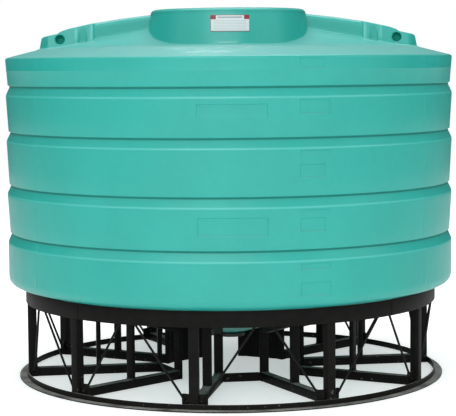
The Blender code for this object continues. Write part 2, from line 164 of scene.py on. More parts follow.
# Soft lights: name, width, height, degrees right of the front, elevation, distance and watts
LIGHTS = (
    ("key_light", 8.0, 1.8, -9.0, 24.0, 10.0, 252.0),
    ("front_light", 22.0, 4.5, 4.0, 5.7, 12.5, 350.0),
    ("left_light", 7.0, 3.6, -60.0, 16.0, 8.5, 78.0),
    ("right_light", 7.0, 3.6, 60.0, 16.0, 8.5, 92.0),
    ("top_light", 6.0, 5.0, 0.0, 88.0, 6.0, 300.0),
    ("glint_light", 0.85, 0.5, 182.7, 35.8, 11.1, 24.0),
)
LIGHTS_AIM_Z = 1.1

# Camera: place, degrees down and rolled, focal length on a 36 mm frame
CAMERA_PLACE = (-0.0099, -9.5, 1.80)
CAMERA_DOWN = 5.066
CAMERA_ROLL = -0.488
CAMERA_LENS = 127.77

# Stand, with its first frame's angle from the right side
FRAME_COUNT = 10
FIRST_FRAME = math.radians(-99.6)
PITCH = 2.0 * math.pi / FRAME_COUNT
HALF_BAY = PITCH / 2.0
HOOP_STEPS = 200
HOOP_INNER = 1.1945
HOOP_OUTER = 1.2005
BAND_BOTTOM_Z = 0.4395
BASE_OUTER = 1.2445
BASE_HEIGHT = 0.034
PLATE = 0.006
TUBE = 0.0508
TUBE_ROUND = 0.0055
POST_FACE = 1.1932
MID_POST = 0.785
INNER_POST = 0.425
SMALL_POST = 0.0254
RAFTER_DEPTH = 0.050
PLATED_TIES = (3, 4)
ROD_RADIUS = 0.0065
POST_MIDDLE = 1.168
FOOT_TAB = (0.045, 0.060)
FOOT_Z = 0.052
APEX_PLATE = (0.086, 0.046)
APEX_Z = BAND_BOTTOM_Z + 0.032
ROD_TOP_SPREAD = 0.0275
BRACE_BOLT = 0.0085


def cone_z(radius):
    """Height of the underside of the tank's cone."""
    return RIM_Z - (RIM_RADIUS - radius) * CONE_SLOPE


def roof_z(radius):
    """Height of the roof between the shoulder and the dome."""
    outer = (TANK_RADIUS - SHOULDER_INSET, SHOULDER_Z)
    inner = (DOME_BASE, DOME_BASE_Z)
    low, high = (outer, KNEE) if radius > KNEE[0] else (KNEE, inner)
    share = (low[0] - radius) / (low[0] - high[0])
    return low[1] + share * (high[1] - low[1])


def dome_radius(z):
    """Radius of the dome's side, which leans in a little towards the top."""
    share = (z - DOME_BASE_Z) / (DOME_TOP_Z - DOME_CROWN - DOME_BASE_Z)
    return DOME_BASE + share * (DOME_SIDE - DOME_BASE)


def surface_z(across, along):
    """Height of the roof with the flanks of the lugs, at a place seen from above."""
    flat = roof_z(math.hypot(across, along))
    rib_foot = FLANK_MIDDLE[1] - (max(abs(across), FLANK_INNER) - FLANK_MIDDLE[0]) * FLANK_FALL
    rise = max(rib_foot - flat, 0.0001)
    beside = max(abs(along) - RIB_WIDTH / 2.0, 0.0)
    share = max(1.0 - beside / (rise * FLANK_SPREAD), 0.0)
    return flat + rise * share * share


class Wire:
    """The output of a shader node; arithmetic on it adds Math nodes."""

    def __init__(self, finish, socket):
        self.finish = finish
        self.socket = socket

    def _math(self, operation, first, second=0.0):
        return self.finish.node("ShaderNodeMath", {"operation": operation}, {0: first, 1: second})

    def __add__(self, other):
        return self._math("ADD", self, other)

    def __radd__(self, other):
        return self._math("ADD", other, self)

    def __sub__(self, other):
        return self._math("SUBTRACT", self, other)

    def __rsub__(self, other):
        return self._math("SUBTRACT", other, self)

    def __mul__(self, other):
        return self._math("MULTIPLY", self, other)

    def __rmul__(self, other):
        return self._math("MULTIPLY", other, self)

    def __abs__(self):
        return self._math("ABSOLUTE", self)

    def above(self, edge, softness):
        """0 below the edge, 1 above it, with a soft change between."""
        settings = {"interpolation_type": "SMOOTHSTEP"}
        return self.finish.node("ShaderNodeMapRange", settings, {
            "Value": self, "From Min": edge - softness, "From Max": edge + softness})

    def below(self, edge, softness):
        """1 below the edge, 0 above it."""
        return 1.0 - self.above(edge, softness)

    def near(self, middle, reach, softness):
        """1 within reach of the middle, 0 further out."""
        return abs(self - middle).below(reach, softness)

    def least(self, other):
        return self._math("MINIMUM", self, other)

    def most(self, other):
        return self._math("MAXIMUM", self, other)


class Graph:
    """A node tree being built."""

    def __init__(self, tree):
        self.tree = tree

    def node(self, kind, settings=None, inputs=None, output=0):
        """Add a node: its settings first, then the values or links of its sockets."""
        node = self.tree.nodes.new(kind)
        for name, value in (settings or {}).items():
            setattr(node, name, value)
        for socket, value in (inputs or {}).items():
            self.feed(node.inputs[socket], value)
        return Wire(self, node.outputs[output])

    def feed(self, socket, value):
        if isinstance(value, Wire):
            self.tree.links.new(value.socket, socket)
        else:
            socket.default_value = value

    def axes(self, vector):
        split = self.node("ShaderNodeSeparateXYZ", None, {0: vector}).socket.node
        return [Wire(self, socket) for socket in split.outputs]

    def length(self, vector):
        return self.node("ShaderNodeVectorMath", {"operation": "LENGTH"}, {0: vector}, 1)

    def scaled(self, vector, factors):
        return self.node("ShaderNodeVectorMath", {"operation": "MULTIPLY"}, {0: vector, 1: factors})


class Finish(Graph):
    """A material being built round its Principled shader."""

    def __init__(self, name, **constants):
        self.material = bpy.data.materials.new(name)
        self.material.use_nodes = True
        super().__init__(self.material.node_tree)
        self.shader = self.tree.nodes["Principled BSDF"]
        for socket, value in constants.items():
            self.shader.inputs[socket.replace("_", " ")].default_value = value

    def set(self, **sockets):
        for name, value in sockets.items():
            self.feed(self.shader.inputs[name.replace("_", " ")], value)

    def place(self):
        """The piece's own coordinates, which are the shared frame's, in metres."""
        return self.node("ShaderNodeTexCoord", output="Object")

    def noise(self, scale, detail=2.0, stretch=None, roughness=0.5):
        place = self.place()
        if stretch:
            place = self.scaled(place, stretch)
        return self.node("ShaderNodeTexNoise", None, {
            "Vector": place, "Scale": scale, "Detail": detail, "Roughness": roughness})

    def mix(self, share, first, second):
        """A colour between two colours."""
        node = self.tree.nodes.new("ShaderNodeMix")
        node.data_type = "RGBA"
        self.feed(node.inputs[0], share)
        for socket, value in ((node.inputs[6], first), (node.inputs[7], second)):
            self.feed(socket, value if isinstance(value, Wire) else (*value, 1.0))
        return Wire(self, node.outputs[2])

    def facing_up(self):
        """1 on faces that look up, 0 on upright ones."""
        normal = self.node("ShaderNodeNewGeometry", output="Normal")
        return self.axes(normal)[2]

    def bump(self, height, distance, strength=1.0):
        self.set(Normal=self.node("ShaderNodeBump", None, {
            "Height": height, "Distance": distance, "Strength": strength}))


def groove_lines(radius, height):
    """Masks of the painted shade line in each groove, and of the painted highlight on the band edge under
    it.
    """
    line = edge_highlight = 0.0
    for lip, depth in GROOVES:
        line = line + height.near(lip - GROOVE_LIP - GROOVE_FLOOR * 0.5, GROOVE_FLOOR * 0.65, 0.003)
        edge_highlight = edge_highlight + height.near(lip - depth, 0.0045, 0.0035)
    line = line * radius.below(TANK_RADIUS - BAND_TAPER - 0.003, 0.003)
    return line, edge_highlight * radius.above(TANK_RADIUS - 0.006, 0.002)


def lug_marks(finish, across, along, height):
    """Masks of the inside of the lug holes, painted as plastic in shade, and of the painted highlights on
    the ridges beside the lug slots.
    """
    from_hole = finish.length(finish.node("ShaderNodeCombineXYZ", None, {
        0: abs(across) - LUG_HOLE[0], 1: 0.0, 2: height - LUG_HOLE[1]}))
    hole = from_hole.below(LUG_HOLE_RADIUS + 0.001, 0.002) * abs(along).below(RIB_WIDTH / 2.0, 0.006)
    ridge_highlight = 0.0
    for middle, reach in LUG_RIDGE_HIGHLIGHTS:
        ridge_highlight = ridge_highlight + abs(across).near(middle, reach, 0.007)
    ridge_highlight = ridge_highlight * abs(along).above(0.056, 0.005) * abs(along).below(0.090, 0.004)
    return hole, ridge_highlight * height.above(1.950, 0.012)


def polished_spots(across, along, radius, height):
    """Mask of two glossier spots in front: on the shoulder, and in the fillet of the dome's foot."""
    shoulder, foot = (
        radius.near(*outwards) * across.near(*sideways)
        for outwards, sideways in (POLISHED_SHOULDER, POLISHED_FOOT))
    shoulder = shoulder * height.above(1.84, 0.008)
    foot = foot * height.below(1.93, 0.005) * height.above(1.88, 0.01)
    return (shoulder + foot).least(1.0) * along.below(0.0, 0.1)


def tank_finish():
    """Teal moulded plastic: satin, faintly mottled, with painted shade deepening the grooves and the dome's
    rounded edge, the lug holes painted a deeper teal as plastic in shade, and painted light on upward faces,
    band edges and the ridges beside the lug slots.
    """
    finish = Finish("teal_moulded_plastic", IOR=1.52)
    place = finish.place()
    across, along, height = finish.axes(place)
    radius = finish.length(finish.scaled(place, (1.0, 1.0, 0.0)))
    up = finish.facing_up()
    # Painted shade line in each groove, and painted highlight along the band edge under it
    line, edge_highlight = groove_lines(radius, height)
    # Inside of the lug holes painted as plastic in shade, and painted highlights on the ridges beside the
    # lug slots
    hole, ridge_highlight = lug_marks(finish, across, along, height)
    # Painted shade on the dome's rounded edge
    dome_edge_shade = radius.above(DOME_EDGE[0], 0.030) * height.above(DOME_EDGE[1], 0.006)
    tone = finish.noise(3.2, 3.0, (1.0, 1.0, 0.6)) * 0.7 + finish.noise(26.0, 2.0) * 0.3
    # Painted light on upward faces, a little uneven, kept off the dome's rounded edge
    painted_top_light = (up.above(0.62, 0.24) * (0.8 + finish.noise(5.0, 3.0) * 0.4)).least(1.0)
    dust = up.above(0.9, 0.08) * (finish.noise(9.0, 4.0).above(0.52, 0.2) * 0.08 + 0.02)
    body = finish.mix(tone.above(0.5, 0.22), TEAL, TEAL_MOTTLE)
    # Over the mottled body: painted light on upward faces, painted shade on the dome's rounded edge, painted
    # highlights on the band edges, painted shade in the grooves, the lug holes painted as plastic in shade,
    # painted highlights on the lug-slot ridges, then dust
    for share, colour in (
            (painted_top_light * (1.0 - dome_edge_shade), TEAL_PAINTED_TOP_LIGHT), (dome_edge_shade * 0.30, TEAL_DOME_EDGE_SHADE),
            (edge_highlight * 0.75, TEAL_EDGE_HIGHLIGHT), (line, TEAL_GROOVE_SHADE), (hole, TEAL_HOLE_IN_SHADE),
            (ridge_highlight * 0.70, TEAL_RIDGE_HIGHLIGHT), (dust, TEAL_DUST)):
        body = finish.mix(share, body, colour)
    finish.set(Base_Color=body)
    rough = 0.31 + finish.noise(14.0, 3.0) * 0.12 + dust * 0.8 + line.most(hole) * 0.5
    finish.set(Roughness=rough - polished_spots(across, along, radius, height) * 0.20)
    finish.bump(finish.noise(170.0, 2.0) + finish.noise(38.0, 1.0) * 1.6, 0.00035, 0.5)
    return finish.material


def stand_finish(name, base, metallic=0.0):
    """Satin black paint on steel, with pale dust on top faces and pale flecks near the floor."""
    finish = Finish(name, IOR=1.5, Metallic=metallic, Specular_IOR_Level=0.08)
    low = finish.axes(finish.place())[2].below(0.10, 0.09)
    up = finish.facing_up().above(0.75, 0.2)
    mottle = finish.noise(16.0, 4.0)
    paint = finish.mix(mottle.above(0.5, 0.25), base, tuple(value * 1.8 for value in base))
    dust = up * (0.25 + low * 0.75) * finish.noise(7.0, 5.0).above(0.40, 0.25)
    # Pale flecks at random near the floor
    pale_flecks = low * finish.noise(34.0, 3.0, None, 0.6).above(0.69, 0.03) * 0.40
    finish.set(Base_Color=finish.mix(pale_flecks, finish.mix(dust, paint, STAND_DUST), STAND_PALE_FLECK))
    finish.set(Roughness=0.40 + mottle * 0.16 + dust * 0.5)
    finish.bump(finish.noise(240.0, 2.0) + finish.noise(60.0, 2.0), 0.0003, 0.5)
    return finish.material


def black_plastic_finish(name, shade, roughness):
    """Black moulded plastic of the lid and the outlet, slightly greyed on top by dust."""
    finish = Finish(name, IOR=1.48)
    grain = finish.noise(22.0, 4.0)
    dust = finish.facing_up().above(0.8, 0.2) * grain.above(0.5, 0.25) * 0.22
    body = finish.mix(grain, [shade] * 3, [shade * 1.6] * 3)
    finish.set(Base_Color=finish.mix(dust, body, (0.22, 0.22, 0.21)))
    finish.set(Roughness=roughness + grain * 0.15)
    finish.bump(finish.noise(320.0, 2.0), 0.0002, 0.5)
    return finish.material


def placard_finish():
    """A blank white plate: thin red edge, a red block in each top corner, plain grey bar and rules."""
    finish = Finish("placard_print", IOR=1.5)
    across, _, height = finish.axes(finish.place())
    up = height - PLACARD_Z
    sideways = abs(across - PLACARD_SHIFT)
    edge = abs(up).above(PLACARD_HEIGHT / 2.0 - PLACARD_EDGE, 0.0005)
    edge = edge.most(sideways.above(PLACARD_WIDTH / 2.0 - PLACARD_EDGE, 0.0005))
    block = sideways.above(PLACARD_WIDTH / 2.0 - 0.031, 0.0006) * up.above(0.022, 0.0006)
    bar = sideways.below(0.068, 0.002) * up.near(0.033, 0.0045, 0.001)
    wave = finish.node("ShaderNodeMath", {"operation": "PINGPONG"}, {0: up - 0.014, 1: 0.00425})
    rules = wave.below(0.0012, 0.0006) * sideways.below(0.092, 0.002) * up.near(-0.010, 0.027, 0.001)
    stain = finish.noise(30.0, 4.0)
    white = finish.mix(stain, (0.62, 0.66, 0.68), (0.70, 0.73, 0.74))
    printed = finish.mix((rules * 0.42).most(bar * 0.62), white, (0.13, 0.14, 0.17))
    finish.set(Base_Color=finish.mix(edge.most(block), printed, (0.26, 0.016, 0.032)))
    finish.set(Roughness=0.30 + stain * 0.15)
    finish.bump(finish.noise(200.0, 1.0), 0.0001, 0.4)
    return finish.material


def turned(angle):
    """A turn about the upright axis."""
    return Matrix.Rotation(angle, 4, "Z")


def moved(x, y, z):
    """A shift to a place."""
    return Matrix.Translation((x, y, z))


def clear_selection():
    """Leave edit mode, with nothing selected."""
    if bpy.context.object and bpy.context.object.mode != "OBJECT":
        bpy.ops.object.mode_set(mode="OBJECT")
    bpy.ops.object.select_all(action="DESELECT")


def activate(*objects):
    """Select these objects alone, and make the first one active."""
    clear_selection()
    for obj in objects:
        obj.select_set(True)
    bpy.context.view_layer.objects.active = objects[0]


def edit(obj, mode):
    """Open a mesh for editing, with nothing selected."""
    activate(obj)
    bpy.ops.object.mode_set(mode="EDIT")
    bpy.ops.mesh.select_mode(type=mode)
    bpy.ops.mesh.select_all(action="DESELECT")


def pick(obj, test, kind="faces"):
    """Select the open mesh's faces, edges or vertices for which the test holds."""
    shape = bmesh.from_edit_mesh(obj.data)
    for item in getattr(shape, kind):
        item.select_set(False)
    for item in getattr(shape, kind):
        if test(item):
            item.select_set(True)
    bmesh.update_edit_mesh(obj.data)


def trim(*cuts):
    """Cut the open mesh by planes and fill the cuts: each has a point, and points at what goes."""
    for point, normal in cuts:
        bpy.ops.mesh.select_all(action="SELECT")
        bpy.ops.mesh.bisect(plane_co=point, plane_no=normal, use_fill=True, clear_outer=True)


def close_edit(obj):
    """Merge doubles, turn the faces outwards and leave edit mode."""
    bpy.ops.mesh.select_all(action="SELECT")
    bpy.ops.mesh.remove_doubles(threshold=0.00002)
    bpy.ops.mesh.normals_make_consistent(inside=False)
    bpy.ops.object.mode_set(mode="OBJECT")
    return obj


def settle(obj):
    """Put the object at the origin, with its place in its mesh."""
    activate(obj)
    bpy.ops.object.transform_apply(location=True, rotation=True, scale=True)
    return obj


def modify(obj, kind, **settings):
    """Add a modifier and apply it."""
    activate(obj)
    modifier = obj.modifiers.new(kind.lower(), kind)
    for name, value in settings.items():
        setattr(modifier, name, value)
    bpy.ops.object.modifier_apply(modifier=modifier.name)


def round_edges(obj, width, segments, degrees):
    """Bevel the edges that turn by more than so many degrees."""
    modify(obj, "BEVEL", width=width, segments=segments, limit_method="ANGLE",
           angle_limit=math.radians(degrees))


def join(name, pieces):
    """Join the pieces into one object of that name."""
    activate(*pieces)
    if len(pieces) > 1:
        bpy.ops.object.join()
    joined = bpy.context.object
    joined.name = name
    joined.data.name = name
    return joined


def copy_piece(obj, name, matrix):
    """A copy with its own mesh, put in its place."""
    twin = obj.copy()
    twin.data = obj.data.copy()
    twin.name = name
    twin.data.name = name
    bpy.context.scene.collection.objects.link(twin)
    twin.data.transform(matrix)
    return twin


def spread(model, node, ending, material, start):
    """Copy the model round the stand, a pitch apart from the start angle on, and delete it."""
    for index in range(FRAME_COUNT):
        name = node + str(index + 1)
        twin = copy_piece(model, name + ending, turned(start + index * PITCH))
        complete(twin, material, [name])
    bpy.data.objects.remove(model, do_unlink=True)


def cut_away(obj, cutter):
    """Cut the cutter's shape out of the object, and delete the cutter."""
    modify(obj, "BOOLEAN", operation="DIFFERENCE", solver="EXACT", object=cutter)
    bpy.data.objects.remove(cutter, do_unlink=True)
    return obj


def complete(obj, material, nodes, smooth=30.0):
    """Shade, paint and attach a finished piece, which stands for the named nodes."""
    settle(obj)
    bpy.ops.object.shade_smooth_by_angle(angle=math.radians(smooth))
    obj.data.materials.clear()
    obj.data.materials.append(material)
    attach(obj, "root")
    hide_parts(*nodes)


def rounded(corners, segments=3):
    """A line through (x, z, radius) corners, each rounded by an arc of its radius."""
    points = []
    for index, (x, z, radius) in enumerate(corners):
        corner = Vector((x, z))
        if radius == 0.0 or index in (0, len(corners) - 1):
            points.append(corner)
            continue
        before = (Vector(corners[index - 1][:2]) - corner).normalized()
        after = (Vector(corners[index + 1][:2]) - corner).normalized()
        half = before.angle(after) / 2.0
        reach = radius / math.tan(half)
        start, end = corner + before * reach, corner + after * reach
        middle = corner + (before + after).normalized() * (radius / math.sin(half))
        first = start - middle
        turn = first.angle_signed(end - middle)
        for step in range(segments + 1):
            points.append(middle + Matrix.Rotation(-turn * step / segments, 2) @ first)
    return points


def draw_line(name, points, place):
    """A chain of edges: one vertex, extruded from each point to the next."""
    points = [place @ Vector((x, 0.0, z)) for x, z in points]
    clear_selection()
    bpy.ops.mesh.primitive_plane_add(size=0.01, location=points[0])
    obj = bpy.context.object
    obj.name = name
    bpy.ops.object.mode_set(mode="EDIT")
    bpy.ops.mesh.select_mode(type="VERT")
    bpy.ops.mesh.merge(type="CENTER")
    for start, end in zip(points, points[1:]):
        bpy.ops.mesh.extrude_vertices_move(TRANSFORM_OT_translate={"value": end - start})
    return obj


def lathe(name, points, steps):
    """Close an outline and spin it about the upright axis, from the front."""
    obj = draw_line(name, points, turned(-math.pi / 2.0))
    bpy.ops.mesh.select_all(action="SELECT")
    bpy.ops.mesh.edge_face_add()
    bpy.ops.mesh.delete(type="ONLY_FACE")
    bpy.ops.mesh.select_all(action="SELECT")
    bpy.ops.mesh.spin(steps=steps, angle=2.0 * math.pi, center=(0.0, 0.0, 0.0), axis=(0.0, 0.0, 1.0))
    close_edit(obj)
    return settle(obj)


def slab(name, points, thickness, place=Matrix.Identity(4)):
    """Fill an outline and extrude it, centred on its plane."""
    obj = draw_line(name, points, place @ moved(0.0, -thickness / 2.0, 0.0))
    bpy.ops.mesh.select_all(action="SELECT")
    bpy.ops.mesh.edge_face_add()
    depth = place.to_3x3() @ Vector((0.0, thickness, 0.0))
    bpy.ops.mesh.extrude_region_move(TRANSFORM_OT_translate={"value": depth})
    close_edit(obj)
    return settle(obj)


def band_radius(z):
    """Radius of the wall at a height: each band leans in towards the groove under it."""
    tops = [lip - height for lip, height in GROOVES[1:]] + [SHOULDER_Z]
    for (lip, _), top in zip(GROOVES, tops):
        if lip <= z <= top:
            return TANK_RADIUS - BAND_TAPER * (top - z) / (top - lip)
    return TANK_RADIUS


def wall_corners():
    """Corners of the wall's outer side, from the rim up to the shoulder."""
    corners = []
    rows = sorted({row for _, _, low, high, _ in PADS for row in (low, high)})
    for lip, height in GROOVES:
        corners += [
            (TANK_RADIUS, lip - height, BAND_EDGE_ROUND),
            (TANK_RADIUS - GROOVE_DEPTH, lip - GROOVE_LIP - GROOVE_FLOOR, 0.003),
            (TANK_RADIUS - GROOVE_DEPTH, lip - GROOVE_LIP, 0.0012),
            (TANK_RADIUS - BAND_TAPER, lip, 0.0025)]
    corners += [(band_radius(row), row, 0.0) for row in rows]
    corners.append((band_radius(SHOULDER_STEP_Z) - 0.0008, SHOULDER_STEP_Z - 0.004, 0.0))
    corners.append((band_radius(SHOULDER_STEP_Z) + 0.0012, SHOULDER_STEP_Z + 0.001, 0.0))
    return sorted(corners, key=lambda corner: corner[1])


def moulding_outline():
    """The whole section of the tank: up the outer side, in at the manway, down the inner side."""
    rim_corner = RIM_Z + (TANK_RADIUS - RIM_RADIUS) * CONE_SLOPE
    inner = TANK_RADIUS - WALL
    roof_rings = [KNEE[0] - 0.03 * step for step in range(2, 20)]
    outer_side = [
        (OUTLET_HOLE, cone_z(OUTLET_HOLE), 0.0),
        (TANK_RADIUS, rim_corner, RIM_ROUND),
        *wall_corners(),
        (TANK_RADIUS, SHOULDER_Z, SHOULDER_ROUND),
        (*KNEE, 0.30),
        *((radius, roof_z(radius), 0.0) for radius in roof_rings),
        (DOME_BASE, DOME_BASE_Z, DOME_FOOT),
        (DOME_SIDE, DOME_TOP_Z - DOME_CROWN, 0.026),
        (WELL_RADIUS + 0.055, DOME_TOP_Z, 0.25),
        (WELL_RADIUS, DOME_TOP_Z, 0.006),
        (WELL_RADIUS - 0.006, WELL_FLOOR_Z, 0.006),
        (MANWAY_RADIUS, WELL_FLOOR_Z, 0.0),
    ]
    inner_side = [
        (MANWAY_RADIUS, WELL_FLOOR_Z - SKIN, 0.0),
        (WELL_RADIUS + SKIN, WELL_FLOOR_Z - SKIN, 0.006),
        (WELL_RADIUS + SKIN, DOME_TOP_Z - SKIN, 0.006),
        (DOME_SIDE - SKIN, DOME_TOP_Z - DOME_CROWN - SKIN, 0.014),
        (DOME_SIDE - SKIN, DOME_BASE_Z - SKIN, 0.020),
        (KNEE[0], KNEE[1] - SKIN, 0.0),
        (inner, SHOULDER_Z - SKIN, 0.020),
        (inner, RIM_Z + SKIN + 0.012, 0.040),
        (OUTLET_HOLE, cone_z(OUTLET_HOLE) + SKIN, 0.0),
    ]
    return rounded(outer_side) + rounded(inner_side)


def front_angle(point):
    """Degrees to the right of the front, seen from above."""
    return math.degrees(math.atan2(point[0], -point[1]))


def raise_flanks(tank):
    """Lift the roof beside the ribs into smooth flanks, and the dome's foot with it."""
    foot = DOME_BASE + DOME_FOOT
    for vert in tank.data.vertices:
        radius = vert.co.xy.length
        on_roof = DOME_SIDE < radius < KNEE[0] + 0.02
        if on_roof and roof_z(radius) - 0.004 < vert.co.z < DOME_BASE_Z + DOME_FOOT + 0.002:
            reach = max(radius, foot)
            across, along = vert.co.xy * (reach / radius)
            vert.co.z += surface_z(across, along) - roof_z(reach)


def swell(height):
    """Move the picked vertices of the wall outwards."""
    grow = 1.0 + height / TANK_RADIUS
    bpy.ops.transform.resize(value=(grow, grow, 1.0), center_override=(0.0, 0.0, 0.0))
    bpy.ops.mesh.select_mode(type="FACE")


def press_pad(obj, start, end, low, high, flush):
    """Sink one blank pad into the wall; a flush one fades out at its lower edge."""
    def on_pad(face):
        middle = face.calc_center_median()
        outside = middle.xy.length > TANK_RADIUS - WALL * 0.6
        return outside and low < middle.z < high and start < front_angle(middle) < end

    pick(obj, on_pad)
    bpy.ops.mesh.inset(thickness=0.003, depth=-PAD_DEPTH)
    if flush:
        shape = bmesh.from_edit_mesh(obj.data)
        bottom = min(vert.co.z for vert in shape.verts if vert.select)
        bpy.ops.mesh.select_mode(type="VERT")
        inside = {vert.index for vert in shape.verts if vert.select and vert.co.z < bottom + 0.002}
        pick(obj, lambda vert: vert.index in inside, "verts")
        swell(PAD_DEPTH)


def raise_parting_line(obj, angle):
    """A thin upright flash line where two parts of the mould met."""
    def near(point, tolerance):
        return abs(front_angle(point) - angle) < tolerance and point.xy.length > TANK_RADIUS - WALL * 0.8

    def upright(edge):
        first, second = (vert.co for vert in edge.verts)
        on_wall = RIM_Z + RIM_ROUND < min(first.z, second.z) and max(first.z, second.z) < SHOULDER_Z
        return on_wall and near(first, 0.01) and near(second, 0.01)

    bpy.ops.mesh.select_mode(type="EDGE")
    pick(obj, upright, "edges")
    bpy.ops.mesh.bevel(offset=PARTING_WIDTH, segments=2, affect="EDGES")
    bpy.ops.mesh.select_mode(type="VERT")
    low, high = RIM_Z + RIM_ROUND + 0.002, SHOULDER_Z - 0.01
    pick(obj, lambda vert: near(vert.co, 0.01) and low < vert.co.z < high, "verts")
    swell(PARTING_HEIGHT)


def make_moulding(material):
    """The tank in one seamless moulding: cone, banded wall, roof and dome."""
    tank = lathe("tank_moulding", moulding_outline(), TANK_STEPS)
    raise_flanks(tank)
    edit(tank, "FACE")
    for pad in PADS:
        press_pad(tank, *pad)
    for angle in PARTING_LINES:
        raise_parting_line(tank, angle)
    bpy.ops.object.mode_set(mode="OBJECT")
    walls = ["tank_wall_" + side for side in SIDES]
    complete(tank, material, walls + ["tank_roof", "tank_cone", "dome"], 28.0)


def lug_layer(outer, inner, width, share):
    """One low step of the fillet round the foot of a lug; share runs from 0 at its wall to 1."""
    grow = LUG_FILLET * share
    rise = LUG_FILLET * (1.0 - math.sqrt(1.0 - (1.0 - share) ** 2))
    outer = outer + grow
    half = width / 2.0 + grow
    stations = [outer - (outer - inner) * step / 8.0 for step in range(9)]
    top = [(radius, surface_z(radius, half) + rise) for radius in stations]
    bottom = [(radius, z - rise - LUG_FILLET * 3.0) for radius, z in reversed(top)]
    return slab("lug_foot", top + bottom, 2.0 * half)


def lug_cylinder(radius, depth):
    """A cylinder across the lug, in the middle of its hole."""
    clear_selection()
    bpy.ops.mesh.primitive_cylinder_add(
        vertices=40, radius=radius, depth=depth, location=(LUG_HOLE[0], 0.0, LUG_HOLE[1]),
        rotation=(math.pi / 2.0, 0.0, 0.0))
    return settle(bpy.context.object)


def lug_block():
    """The body of the lug: corners cut back, sides drawn in, strap slots and hole cut out."""
    under = [(radius, roof_z(radius) - LUG_SUNK) for radius in (LUG_OUTER, KNEE[0], LUG_INNER)]
    block = slab("lug_block", [under[0], *LUG_TOP, under[2], under[1]], LUG_WIDTH)
    edit(block, "VERT")
    for side in (-1.0, 1.0):
        trim(((LUG_OUTER - LUG_NOSE, side * LUG_WIDTH / 2.0, LUG_HOLE[1]), (1.0, side * 1.2, 0.0)),
             ((LUG_INNER, side * RIB_WIDTH / 2.0, LUG_HOLE[1]), (-1.0, side * 0.55, 0.0)))
    pick(block, lambda vert: vert.co.z > LUG_TOP[0][1] - 0.001, "verts")
    bpy.ops.transform.resize(value=(1.0, LUG_DRAFT, 1.0), center_override=(0.0, 0.0, 0.0))
    close_edit(block)
    level = moved(0.0, 0.0, DOME_TOP_Z - 0.2) @ Matrix.Rotation(math.pi / 2.0, 4, "X")
    for side in (-1.0, 1.0):
        cut_away(block, slab("slot_cut", [(along, side * out) for along, out in LUG_SLOT], 0.5, level))
    round_edges(block, LUG_ROUND, 3, 35.0)
    return cut_away(block, lug_cylinder(LUG_HOLE_RADIUS, 0.4))


def lug_rib():
    """The rib from the lug to the dome, with its long top edges rounded."""
    (first, z), (last, _) = RIB_TOP[0], RIB_TOP[-1]
    outline = [(first, roof_z(first) - LUG_SUNK), *RIB_TOP, (last, DOME_BASE_Z - LUG_SUNK)]
    rib = slab("lug_rib", outline, RIB_WIDTH)
    edit(rib, "EDGE")
    pick(rib, lambda edge: abs(edge.verts[0].co.x - edge.verts[1].co.x) > 0.05
         and min(vert.co.z for vert in edge.verts) > z - 0.001, "edges")
    bpy.ops.mesh.bevel(offset=RIB_ROUND, segments=5, affect="EDGES")
    return close_edit(rib)


def make_lugs(material):
    """A lifting lug on each side of the roof, with a hole, a strap slot and a rib to the dome; a web across
    the middle of the hole stands in for the shade seen through it.
    """
    # The second piece is the web across the middle of the hole, a stand-in for the shade seen through it
    pieces = [lug_block(), lug_cylinder(LUG_HOLE_RADIUS + 0.004, LUG_SHADE_WEB), lug_rib()]
    for share in LUG_FILLET_STEPS:
        pieces.append(lug_layer(LUG_OUTER, LUG_INNER, LUG_WIDTH, share))
        pieces.append(lug_layer(LUG_INNER, RIB_TOP[-1][0], RIB_WIDTH, share))
    lug = join("lifting_lug_right_moulding", pieces)
    modify(lug, "REMESH", mode="VOXEL", voxel_size=LUG_VOXEL, adaptivity=0.0)
    modify(lug, "SMOOTH", factor=0.6, iterations=8)
    twin = copy_piece(lug, "lifting_lug_left_moulding", turned(math.pi))
    complete(lug, material, ["lifting_lug_right"], 60.0)
    complete(twin, material, ["lifting_lug_left"], 60.0)


def make_placard(material):
    """A thin plate with rounded corners, bent round the front of the dome."""
    radius = dome_radius(PLACARD_Z) + PLACARD_LIFT
    clear_selection()
    bpy.ops.mesh.primitive_grid_add(
        x_subdivisions=24, y_subdivisions=6, size=1.0, location=(0.0, -radius, PLACARD_Z),
        rotation=(math.pi / 2.0, 0.0, 0.0))
    plate = settle(bpy.context.object)
    edit(plate, "VERT")
    bpy.ops.mesh.select_all(action="SELECT")
    bpy.ops.transform.resize(
        value=(PLACARD_WIDTH, 1.0, PLACARD_HEIGHT), center_override=(0.0, -radius, PLACARD_Z))
    bpy.ops.object.mode_set(mode="OBJECT")
    for vert in plate.data.vertices:
        angle = (vert.co.x + PLACARD_SHIFT) / radius
        reach = dome_radius(vert.co.z) + PLACARD_LIFT
        vert.co.x = reach * math.sin(angle)
        vert.co.y = -reach * math.cos(angle)
    edit(plate, "VERT")
    pick(plate, lambda vert: len(vert.link_edges) == 2, "verts")
    bpy.ops.mesh.bevel(offset=0.005, segments=4, affect="VERTICES")
    close_edit(plate)
    modify(plate, "SOLIDIFY", thickness=PLACARD_THICKNESS, offset=0.0)
    round_edges(plate, 0.0008, 2, 50.0)
    plate.name = "placard_plate"
    complete(plate, material, ["placard"])


